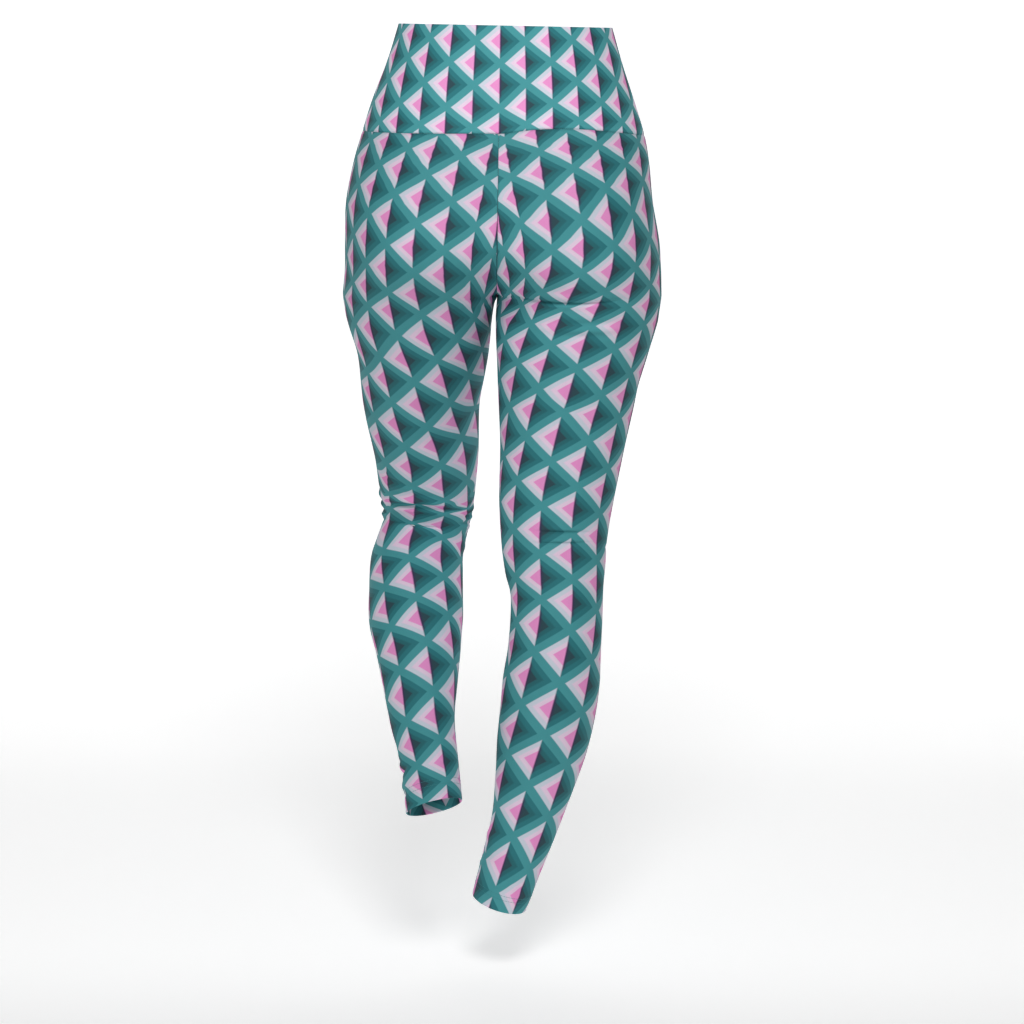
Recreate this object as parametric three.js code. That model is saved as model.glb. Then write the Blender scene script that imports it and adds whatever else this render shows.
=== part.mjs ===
import * as THREE from 'three';

// High-waisted leggings in the hollow form that they take when worn in mid-stride.
// Millimetres, +Z up. The origin is the middle of the waist opening. The garment's
// back faces +Y and its left leg is on +X; the left knee is bent and carried forward.

const seamGap = 0.3; // between pieces that are sewn to each other
const legWall = 1.4;
const bandWall = 2.4; // the waistband is folded double
const bandBottomZ = -112;
const crotchZ = -292;

// The rise seam lies in a plane between the two legs, which leans a little to the right.
const rise = { x: 8.5, leanPerMm: 0.0147, reach: 85, fadeBelow: 70 };

// In front the cloth spans the dip between the thighs, this far to each side of the seam.
const frontSpan = 62;

// Near its hem the left leg's sections ease back towards level by this share, and roll by
// these degrees, so that the inner side of the hem sits higher.
const hemSet = {
  left: { ease: 0.3, roll: 7 },
  right: { ease: 0, roll: 0 },
  over: 80,
};

// The waist edge and the waistband's lower seam aren't quite level all round.
const tug = { edgeTilt: 0.02, seamRise: 5, fadeDown: 90 };

const legColumns = 30;
const bandColumns = 18; // for each half of the waistband
const bandRows = 7;

// One row for each section. z and y place its middle; mid is where it is deepest, and
// inner and outer are where its sides reach, all measured sideways from the rise seam;
// back and front are its depths from the middle. Above the crotch the inner side would
// pass the seam plane, and the section is cut off there.
const sections = {
  left: [
    { z: 6, y: 0, mid: 12, inner: -560, outer: 108.5, back: 88, front: 92 },
    { z: -37, y: 0, mid: 18, inner: -540, outer: 121.6, back: 92, front: 98 },
    { z: -80, y: 0, mid: 30, inner: -480, outer: 138.5, back: 98, front: 106 },
    { z: -114, y: 0, mid: 44, inner: -380, outer: 149.2, back: 104, front: 110 },
    { z: -144, y: -1, mid: 58, inner: -260, outer: 157.8, back: 111, front: 110 },
    { z: -188, y: -4, mid: 74, inner: -150, outer: 166.3, back: 124, front: 107 },
    { z: -232, y: -12, mid: 83, inner: -87, outer: 167.8, back: 134, front: 101 },
    { z: -262, y: -23, mid: 85, inner: -32, outer: 168.4, back: 131, front: 96 },
    { z: -292, y: -37, mid: 86, inner: 0.15, outer: 171.5, back: 114, front: 91 },
    { z: -320, y: -54, mid: 88, inner: 5.4, outer: 169, back: 101, front: 87 },
    { z: -358, y: -78, mid: 85, inner: 9, outer: 159, back: 88, front: 82 },
    { z: -422, y: -116, mid: 87.5, inner: 20, outer: 154.6, back: 75, front: 73 },
    { z: -487, y: -152, mid: 83.7, inner: 22.2, outer: 144, back: 65, front: 65 },
    { z: -530, y: -174, mid: 83, inner: 25.8, outer: 140, back: 58, front: 61 },
    { z: -560, y: -185, mid: 83.5, inner: 29.5, outer: 136.6, back: 53, front: 60 },
    { z: -588, y: -185, mid: 87, inner: 36.5, outer: 137.6, back: 51, front: 58 },
    { z: -606, y: -177, mid: 91.5, inner: 40, outer: 143.6, back: 53, front: 56 },
    { z: -624, y: -165, mid: 95, inner: 41, outer: 150, back: 56, front: 54 },
    { z: -652, y: -147, mid: 96, inner: 41, outer: 151.2, back: 60, front: 52 },
    { z: -684, y: -122, mid: 95.4, inner: 40.6, outer: 150.3, back: 58, front: 49 },
    { z: -714, y: -98, mid: 92, inner: 42.6, outer: 141.3, back: 52, front: 46 },
    { z: -744, y: -75, mid: 89.6, inner: 45.7, outer: 133.5, back: 46, front: 42 },
    { z: -784, y: -44, mid: 86, inner: 48.8, outer: 123.3, back: 38, front: 38 },
    { z: -823, y: -14, mid: 77.5, inner: 44.5, outer: 110.5, back: 34, front: 35 },
    { z: -868, y: 20, mid: 71, inner: 38.5, outer: 104, back: 33, front: 34 },
  ],
  right: [
    { z: 6, y: 0, mid: 14, inner: -560, outer: 119, back: 88, front: 92 },
    { z: -37, y: 0, mid: 20, inner: -540, outer: 132.4, back: 92, front: 98 },
    { z: -80, y: 0, mid: 32, inner: -480, outer: 147.7, back: 98, front: 106 },
    { z: -114, y: 0, mid: 46, inner: -380, outer: 158.6, back: 104, front: 110 },
    { z: -144, y: 0, mid: 60, inner: -260, outer: 164, back: 111, front: 111 },
    { z: -188, y: 0, mid: 76, inner: -150, outer: 168.8, back: 123, front: 108 },
    { z: -232, y: 0, mid: 86, inner: -87, outer: 177, back: 128, front: 103 },
    { z: -262, y: 0, mid: 89, inner: -32, outer: 179.6, back: 122, front: 99 },
    { z: -292, y: 0, mid: 90.5, inner: 0.15, outer: 181, back: 101, front: 94 },
    { z: -320, y: -1, mid: 87.5, inner: -1.5, outer: 177, back: 94, front: 91 },
    { z: -353, y: -2, mid: 83, inner: -1, outer: 166.4, back: 89, front: 87 },
    { z: -381, y: -3, mid: 79, inner: 0, outer: 157.6, back: 84, front: 83 },
    { z: -409, y: -4, mid: 76.5, inner: 1, outer: 152, back: 80, front: 80 },
    { z: -464, y: 0, mid: 71.6, inner: 3, outer: 140, back: 72, front: 74 },
    { z: -520, y: 4, mid: 65.6, inner: 2, outer: 129, back: 65, front: 69 },
    { z: -564, y: 10, mid: 63.4, inner: 4.4, outer: 122.4, back: 60, front: 65 },
    { z: -597, y: 15, mid: 64.5, inner: 9, outer: 120.6, back: 56, front: 62 },
    { z: -619, y: 18, mid: 66, inner: 14.4, outer: 118.4, back: 55, front: 60 },
    { z: -645, y: 21, mid: 66.2, inner: 15, outer: 117.6, back: 55, front: 57 },
    { z: -687, y: 21, mid: 64, inner: 12, outer: 116, back: 59, front: 54 },
    { z: -722, y: 19, mid: 60.8, inner: 6.5, outer: 115, back: 59, front: 53 },
    { z: -760, y: 15, mid: 56.5, inner: 3, outer: 110, back: 56, front: 50 },
    { z: -800, y: 10, mid: 50, inner: -1, outer: 101, back: 49, front: 46 },
    { z: -841, y: 6, mid: 42, inner: -3, outer: 87.5, back: 42, front: 42 },
    { z: -890, y: 0, mid: 31.5, inner: -7, outer: 70.5, back: 36, front: 37 },
    { z: -930, y: -3, mid: 20, inner: -16, outer: 55.5, back: 34, front: 35 },
    { z: -988, y: -8, mid: 1.8, inner: -30.2, outer: 34.5, back: 31, front: 33 },
  ],
};

// Stations along each leg: how many rows of faces run down to each z.
const stations = {
  left: [
    { z: -230, rows: 5 },
    { z: crotchZ, rows: 7 },
    { z: -360, rows: 4 },
    { z: -490, rows: 6 },
    { z: -620, rows: 20 },
    { z: -800, rows: 9 },
    { z: -868, rows: 6 },
  ],
  right: [
    { z: -230, rows: 5 },
    { z: crotchZ, rows: 7 },
    { z: -350, rows: 6 },
    { z: -570, rows: 9 },
    { z: -650, rows: 7 },
    { z: -880, rows: 10 },
    { z: -988, rows: 7 },
  ],
};

// The largest folds: where each one's middle lies along and around the leg, half its
// length around, half its width along, its depth (a trough is negative) and how far its
// far end drops. Angles run from the inseam (0) over the back (90) and the outside (180).
const folds = {
  left: [
    { z: -553, angle: 96, span: 62, width: 9, depth: -5, drop: 4 },
    { z: -540, angle: 104, span: 58, width: 7, depth: 3, drop: 3 },
    { z: -566, angle: 74, span: 56, width: 7, depth: 3.2, drop: 2 },
    { z: -527, angle: 118, span: 44, width: 6, depth: -2.2, drop: 4 },
    { z: -580, angle: 60, span: 46, width: 6, depth: -2.4, drop: 4 },
    { z: -514, angle: 130, span: 38, width: 6, depth: 1.6, drop: 3 },
    { z: -835, angle: 190, span: 70, width: 7, depth: -2, drop: -3 },
    { z: -848, angle: 170, span: 80, width: 6, depth: 1.6, drop: 3 },
    { z: -318, angle: 262, span: 60, width: 9, depth: -3, drop: 10 },
    { z: -340, angle: 268, span: 52, width: 9, depth: 2, drop: 8 },
  ],
  right: [
    { z: -290, angle: 92, span: 46, width: 8, depth: -4, drop: -3 },
    { z: -310, angle: 96, span: 50, width: 12, depth: 2.2, drop: -2 },
    { z: -612, angle: 92, span: 50, width: 7, depth: -1.8, drop: 4 },
    { z: -626, angle: 84, span: 44, width: 7, depth: 1.4, drop: -3 },
    { z: -950, angle: 110, span: 90, width: 7, depth: -1.6, drop: 4 },
  ],
};

const colours = { band: 0x3f9294, leg: 0x3a8a8d };

// The value of one column at z, on a smooth curve through the rows.
function columnAt(rows, key, z) {
  let i = rows.findIndex((row) => row.z <= z);
  i = i < 0 ? rows.length - 1 : Math.max(i, 1);
  const slope = (k) => {
    const low = rows[Math.max(k - 1, 0)];
    const high = rows[Math.min(k + 1, rows.length - 1)];
    return (high[key] - low[key]) / (high.z - low.z);
  };
  const [from, to] = [rows[i - 1], rows[i]];
  const span = to.z - from.z;
  const t = (z - from.z) / span;
  const [t2, t3] = [t * t, t * t * t];
  const ends = from[key] * (2 * t3 - 3 * t2 + 1) + to[key] * (3 * t2 - 2 * t3);
  return ends + span * (slope(i - 1) * (t3 - 2 * t2 + t) + slope(i) * (t3 - t2));
}

function sectionAt(side, z) {
  const keys = ['y', 'mid', 'inner', 'outer', 'back', 'front'];
  return Object.fromEntries(keys.map((key) => [key, columnAt(sections[side], key, z)]));
}

const fade = (from, to, value) => THREE.MathUtils.smoothstep(value, from, to);
const riseX = (z) => rise.x - rise.leanPerMm * Math.max(0, z - crotchZ);
const sideSign = (side) => (side === 'left' ? 1 : -1);

// The angle at which a section meets the seam plane; 0 where the leg is a closed tube.
function cutAngle(section, cut) {
  const inward = section.mid - section.inner;
  const across = section.mid - cut;
  return inward > across ? Math.acos(across / inward) : 0;
}

// How far the two halves' edges must move back or forward to meet on one seam line.
function seamShift(side, z, sign) {
  const level = Math.max(z, crotchZ);
  const edges = ['left', 'right'].map((name) => {
    const section = sectionAt(name, level);
    const depth = sign > 0 ? section.back : section.front;
    const angle = level > crotchZ ? cutAngle(section, 0) : 0;
    const fill = sign < 0 ? frontFill(section, level, 0) : 0;
    return section.y + sign * depth * Math.sin(angle) - fill;
  });
  const own = side === 'left' ? edges[0] : edges[1];
  const below = 1 - fade(0, rise.fadeBelow, crotchZ - z);
  return ((edges[0] + edges[1]) / 2 - own) * below;
}

// The three directions of a section: along the leg, outwards and backwards.
// The sections lie level round the hips and turn square to the leg down the thigh.
function directionsAt(side, z) {
  const reach = 12;
  const [above, below] = [sectionAt(side, z + reach), sectionAt(side, z - reach)];
  const turn = fade(0, 130, crotchZ - z);
  const atHem = fade(0, hemSet.over, sections[side].at(-1).z + hemSet.over - z);
  const x = (below.mid - above.mid) * turn;
  const y = (below.y - above.y) * turn * (1 - hemSet[side].ease * atHem);
  const along = new THREE.Vector3(x, y, -2 * reach).normalize();
  const back = new THREE.Vector3(0, 1, 0).addScaledVector(along, -along.y).normalize();
  along.applyAxisAngle(back, THREE.MathUtils.degToRad(hemSet[side].roll * atHem));
  const outward = new THREE.Vector3().crossVectors(back, along).negate();
  return { along, outward, back };
}

function foldDepth(side, z, degrees) {
  let depth = 0;
  for (const fold of folds[side]) {
    const around = (degrees - fold.angle) / fold.span;
    const down = (z - fold.z + fold.drop * around) / fold.width;
    const near = Math.abs(around) < 1 && Math.abs(down) < 2;
    depth += near ? fold.depth * Math.cos(around * Math.PI / 2) ** 2 * Math.exp(-down * down * 2) : 0;
  }
  return depth;
}

// The waist edge tilts a little, and the seam below it rises over the right seat.
function tugAt(point) {
  const overBand = fade(bandBottomZ, 0, point.z);
  const underBand = fade(bandBottomZ - tug.fadeDown, bandBottomZ, point.z);
  const turn = Math.atan2(-point.x, point.y);
  const isRightBack = turn > 0 && turn <= Math.PI / 2;
  const isRightFront = turn > Math.PI / 2;
  let wave = isRightBack ? Math.sin(3 * turn) : 0;
  wave = isRightFront ? -(Math.sin(turn) ** 2) : wave;
  return tug.edgeTilt * point.x * overBand + tug.seamRise * wave * underBand * (1 - overBand);
}

// The cloth's advance over the dip in front; it dies out at the crotch.
function frontFill(section, z, fromSeam) {
  if (z <= crotchZ || fromSeam >= frontSpan) return 0;
  const angle = cutAngle(section, 0);
  const slope = section.front / (section.mid - section.inner) * Math.cos(angle) * Math.sin(angle);
  return slope * frontSpan / 2 * (1 - fromSeam / frontSpan) ** 2;
}

function surfacePoint(side, z, angle) {
  const section = sectionAt(side, z);
  const { outward, back } = directionsAt(side, z);
  const [c, s] = [Math.cos(angle), Math.sin(angle)];
  let across = -c * (c > 0 ? section.mid - section.inner : section.outer - section.mid);
  let deep = s * (s > 0 ? section.back : section.front);
  const swell = 1 + foldDepth(side, z, THREE.MathUtils.radToDeg(angle)) / Math.hypot(across, deep);
  const isCut = z > crotchZ && section.mid + across < seamGap;
  across *= isCut ? 1 : swell;
  deep *= swell;
  deep -= s < 0 ? frontFill(section, z, section.mid + across) : 0;
  const point = new THREE.Vector3(section.mid, section.y, z);
  point.addScaledVector(outward, across).addScaledVector(back, deep);
  const near = 1 - fade(0, rise.reach, point.x);
  point.y += seamShift(side, z, s >= 0 ? 1 : -1) * near;
  point.x = riseX(z) + sideSign(side) * point.x;
  point.z += tugAt(point);
  return point;
}

// Angles that are evenly spaced in millimetres round a section, between two angles.
function evenAngles(side, z, from, to, count) {
  const steps = 240;
  const angles = Array.from({ length: steps + 1 }, (_, k) => from + (to - from) * k / steps);
  const section = sectionAt(side, z);
  const flat = angles.map((angle) => {
    const [c, s] = [Math.cos(angle), Math.sin(angle)];
    const across = c > 0 ? section.mid - section.inner : section.outer - section.mid;
    return new THREE.Vector2(-c * across, s * (s > 0 ? section.back : section.front));
  });
  const lengths = [0];
  for (let k = 1; k <= steps; k += 1) lengths.push(lengths[k - 1] + flat[k].distanceTo(flat[k - 1]));
  return Array.from({ length: count + 1 }, (_, j) => {
    const target = lengths[steps] * j / count;
    const k = Math.max(lengths.findIndex((length) => length >= target - 1e-6), 1);
    const t = (target - lengths[k - 1]) / (lengths[k] - lengths[k - 1]);
    return angles[k - 1] + (angles[k] - angles[k - 1]) * t;
  });
}

// A closed wall from a grid of outer points. Rows from closedFrom on are whole rings.
// limits(i, j) gives the directions in which the wall's edge must not spread there.
function wallGeometry({ grid, wall, closedFrom, limits, flip }) {
  const rows = grid.length;
  const columns = grid[0].length - 1;
  const isClosed = (i) => i >= closedFrom;
  const at = (i, j) => grid[i][isClosed(i) ? (j + columns) % columns : Math.min(Math.max(j, 0), columns)];
  const inner = grid.map((row, i) => row.map((point, j) => {
    const wraps = isClosed(i);
    const around = at(i, wraps ? j + 1 : Math.min(j + 1, columns)).clone().sub(at(i, j - 1));
    const down = at(Math.min(i + 1, rows - 1), j).clone().sub(at(Math.max(i - 1, 0), j));
    const offset = new THREE.Vector3().crossVectors(around, down).normalize();
    offset.multiplyScalar(flip ? 1 : -1);
    for (const limit of limits(i, j)) offset.addScaledVector(limit, -offset.dot(limit));
    return point.clone().addScaledVector(offset.normalize(), wall);
  }));
  const positions = [];
  const number = [grid, inner].map((layer) => layer.map((row, i) => {
    const kept = row.slice(0, isClosed(i) ? columns : columns + 1);
    const numbers = kept.map((point) => positions.push(point.x, point.y, point.z) / 3 - 1);
    return isClosed(i) ? [...numbers, numbers[0]] : numbers;
  }));
  const spot = (k) => new THREE.Vector3().fromArray(positions, k * 3);
  const index = [];
  const addQuad = (a, b, c, d) => {
    const short = spot(a).distanceTo(spot(c)) <= spot(b).distanceTo(spot(d));
    const triangles = short ? [[a, b, c], [a, c, d]] : [[a, b, d], [b, c, d]];
    for (const triangle of triangles) {
      if (new Set(triangle).size === 3) index.push(...(flip ? triangle.reverse() : triangle));
    }
  };
  const [outside, inside] = number;
  for (let i = 0; i < rows - 1; i += 1) {
    for (let j = 0; j < columns; j += 1) {
      addQuad(outside[i][j], outside[i][j + 1], outside[i + 1][j + 1], outside[i + 1][j]);
      addQuad(inside[i][j], inside[i + 1][j], inside[i + 1][j + 1], inside[i][j + 1]);
    }
    if (!isClosed(i)) {
      addQuad(outside[i][0], outside[i + 1][0], inside[i + 1][0], inside[i][0]);
      addQuad(inside[i][columns], inside[i + 1][columns], outside[i + 1][columns], outside[i][columns]);
    }
  }
  const last = rows - 1;
  for (let j = 0; j < columns; j += 1) {
    addQuad(outside[0][j], inside[0][j], inside[0][j + 1], outside[0][j + 1]);
    addQuad(outside[last][j], outside[last][j + 1], inside[last][j + 1], inside[last][j]);
  }
  const geometry = new THREE.BufferGeometry();
  geometry.setAttribute('position', new THREE.Float32BufferAttribute(positions, 3));
  geometry.setIndex(index);
  geometry.computeVertexNormals();
  return geometry;
}

function stationList(side, topZ) {
  const list = [topZ];
  for (const stretch of stations[side]) {
    const from = list[list.length - 1];
    for (let k = 1; k <= stretch.rows; k += 1) list.push(from + (stretch.z - from) * k / stretch.rows);
  }
  return list;
}

const seamPlane = new THREE.Vector3(1, 0, rise.leanPerMm).normalize();
const upright = new THREE.Vector3(0, 0, 1);
const fore = new THREE.Vector3(0, 1, 0);

function legMesh(side) {
  const levels = stationList(side, bandBottomZ - seamGap / 2);
  const closedFrom = levels.indexOf(crotchZ);
  const grid = levels.map((z) => {
    const start = z > crotchZ ? cutAngle(sectionAt(side, z), seamGap / 2) : 0;
    const angles = evenAngles(side, z, start, 2 * Math.PI - start, legColumns);
    return angles.map((angle) => surfacePoint(side, z, angle));
  });
  const last = levels.length - 1;
  const hemAxis = directionsAt(side, levels[last]).along;
  hemAxis.x *= sideSign(side);
  const limits = (i, j) => {
    const edges = [];
    if (i === 0) edges.push(upright);
    if (i === last) edges.push(hemAxis);
    if (i <= closedFrom && (j === 0 || j === legColumns)) edges.push(seamPlane);
    return edges;
  };
  const flip = side === 'right';
  const geometry = wallGeometry({ grid, wall: legWall, closedFrom, limits, flip });
  const material = new THREE.MeshStandardMaterial({ color: colours.leg, roughness: 0.72, metalness: 0 });
  const mesh = new THREE.Mesh(geometry, material);
  mesh.name = `leg_${side}`;
  return mesh;
}

// A waistband piece runs from one side seam over the back or the front to the other.
function bandMesh(face) {
  const lowest = bandBottomZ + seamGap / 2;
  const levels = Array.from({ length: bandRows + 1 }, (_, i) => lowest * i / bandRows);
  const isBack = face === 'back';
  const grid = levels.map((z) => {
    const halves = ['right', 'left'].map((side) => {
      const section = sectionAt(side, z);
      const trim = seamGap / 2 / (isBack ? section.back : section.front);
      const start = cutAngle(section, 0);
      const [from, to] = isBack ? [start, Math.PI - trim] : [2 * Math.PI - start, Math.PI + trim];
      const angles = evenAngles(side, z, from, to, bandColumns);
      return angles.map((angle) => surfacePoint(side, z, angle));
    });
    return [...halves[0].reverse(), ...halves[1].slice(1)];
  });
  const last = levels.length - 1;
  const limits = (i, j) => {
    const edges = i === 0 || i === last ? [upright] : [];
    return j === 0 || j === 2 * bandColumns ? [...edges, fore] : edges;
  };
  const geometry = wallGeometry({ grid, wall: bandWall, closedFrom: Infinity, limits, flip: !isBack });
  const material = new THREE.MeshStandardMaterial({ color: colours.band, roughness: 0.7, metalness: 0 });
  const mesh = new THREE.Mesh(geometry, material);
  mesh.name = `waistband_${face}`;
  return mesh;
}

const group = new THREE.Group();
group.name = 'leggings';
group.add(bandMesh('back'), bandMesh('front'), legMesh('left'), legMesh('right'));

export default group;
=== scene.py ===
import math
import bpy
import numpy as np
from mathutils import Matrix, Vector


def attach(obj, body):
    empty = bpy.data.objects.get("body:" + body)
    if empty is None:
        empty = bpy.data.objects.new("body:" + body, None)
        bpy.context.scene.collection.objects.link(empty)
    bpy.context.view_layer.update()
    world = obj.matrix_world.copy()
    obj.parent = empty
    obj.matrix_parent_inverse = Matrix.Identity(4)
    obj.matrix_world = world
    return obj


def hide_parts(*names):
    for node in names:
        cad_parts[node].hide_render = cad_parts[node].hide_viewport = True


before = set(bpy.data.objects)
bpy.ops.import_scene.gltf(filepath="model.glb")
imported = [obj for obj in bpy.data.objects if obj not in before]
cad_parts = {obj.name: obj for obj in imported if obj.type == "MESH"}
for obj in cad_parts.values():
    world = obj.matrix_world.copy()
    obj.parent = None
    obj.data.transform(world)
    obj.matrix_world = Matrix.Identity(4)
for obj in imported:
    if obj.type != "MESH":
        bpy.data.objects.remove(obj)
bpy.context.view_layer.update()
print("frame loaded")

# All garment sizes are in millimetres until a mesh is made. The back faces +Y, the left leg is on +X.
mm = 0.001
bandBottom = -112.0
crotchZ = -292.0

# The rise seam's plane between the legs, and the span of cloth over the dip in front of it.
rise = {"x": 8.5, "lean": 0.0147, "reach": 85.0, "fadeBelow": 70.0, "frontSpan": 62.0, "atEdge": 0.3}
hemSet = {"left": {"ease": 0.3, "roll": 7.0}, "right": {"ease": 0.0, "roll": 0.0}, "over": 80.0}
tug = {"edgeTilt": 0.02, "seamRise": 5.0, "fadeDown": 90.0}

# Sections of the worn form, a row for each height.
sectionColumns = ("z", "y", "mid", "inner", "outer", "back", "front")
sections = {
    "left": [
        (6, 0, 12, -560, 108.5, 88, 92),
        (-37, 0, 18, -540, 121.6, 92, 98),
        (-80, 0, 30, -480, 138.5, 98, 106),
        (-114, 0, 44, -380, 149.2, 104, 110),
        (-144, -1, 58, -260, 157.8, 111, 110),
        (-188, -4, 74, -150, 166.3, 124, 107),
        (-232, -12, 83, -87, 167.8, 134, 101),
        (-262, -23, 85, -32, 168.4, 131, 96),
        (-292, -37, 86, 0.15, 171.5, 114, 91),
        (-293.5, -38, 86.1, -0.2, 171.5, 113.3, 90.8),
        (-296.5, -39.8, 86.3, 0.05, 171.4, 111.8, 90.4),
        (-301, -42.5, 86.6, 2.2, 171.1, 109.3, 89.8),
        (-309, -47.4, 87.1, 3.9, 170.3, 105.7, 88.6),
        (-320, -54, 88, 5.4, 169, 101, 87),
        (-358, -78, 85, 9, 159, 88, 82),
        (-422, -116, 87.5, 20, 154.6, 75, 73),
        (-487, -152, 83.7, 22.2, 144, 65, 65),
        (-530, -174, 83, 25.8, 140, 58, 61),
        (-560, -185, 83.5, 29.5, 136.6, 53, 60),
        (-588, -185, 87, 36.5, 137.6, 51, 58),
        (-606, -177, 91.5, 40, 143.6, 53, 56),
        (-624, -165, 95, 41, 150, 56, 54),
        (-652, -147, 96, 41, 151.2, 60, 52),
        (-684, -122, 95.4, 40.6, 150.3, 58, 49),
        (-714, -98, 92, 42.6, 141.3, 52, 46),
        (-744, -75, 89.6, 45.7, 133.5, 46, 42),
        (-784, -44, 86, 48.8, 123.3, 38, 38),
        (-823, -14, 77.5, 44.5, 110.5, 34, 35),
        (-868, 20, 71, 38.5, 104, 33, 34),
    ],
    "right": [
        (6, 0, 14, -560, 119, 88, 92),
        (-37, 0, 20, -540, 132.4, 92, 98),
        (-80, 0, 32, -480, 147.7, 98, 106),
        (-114, 0, 46, -380, 158.6, 104, 110),
        (-144, 0, 60, -260, 164, 111, 111),
        (-188, 0, 76, -150, 168.8, 123, 108),
        (-232, 0, 86, -87, 177, 128, 103),
        (-262, 0, 89, -32, 179.6, 122, 99),
        (-292, 0, 90.5, 0.15, 181, 101, 94),
        (-293.5, 0, 90.4, -0.2, 180.9, 100.6, 93.9),
        (-296.5, 0, 90.1, 0.0, 180.6, 99.8, 93.6),
        (-309, -0.5, 88.8, -1.0, 178.7, 96.6, 92.2),
        (-320, -1, 87.5, -1.5, 177, 94, 91),
        (-353, -2, 83, -1, 166.4, 89, 87),
        (-381, -3, 79, 0, 157.6, 84, 83),
        (-409, -4, 76.5, 1, 152, 80, 80),
        (-464, 0, 71.6, 3, 140, 72, 74),
        (-520, 4, 65.6, 2, 129, 65, 69),
        (-564, 10, 63.4, 4.4, 122.4, 60, 65),
        (-597, 15, 64.5, 9, 120.6, 56, 62),
        (-619, 18, 66, 14.4, 118.4, 55, 60),
        (-645, 21, 66.2, 15, 117.6, 55, 57),
        (-687, 21, 64, 12, 116, 59, 54),
        (-722, 19, 60.8, 6.5, 115, 59, 53),
        (-760, 15, 56.5, 3, 110, 56, 50),
        (-800, 10, 50, -1, 101, 49, 46),
        (-841, 6, 42, -3, 87.5, 42, 42),
        (-890, 0, 31.5, -7, 70.5, 36, 37),
        (-930, -3, 20, -16, 55.5, 34, 35),
        (-988, -8, 1.8, -30.2, 34.5, 31, 33),
    ],
}

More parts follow.
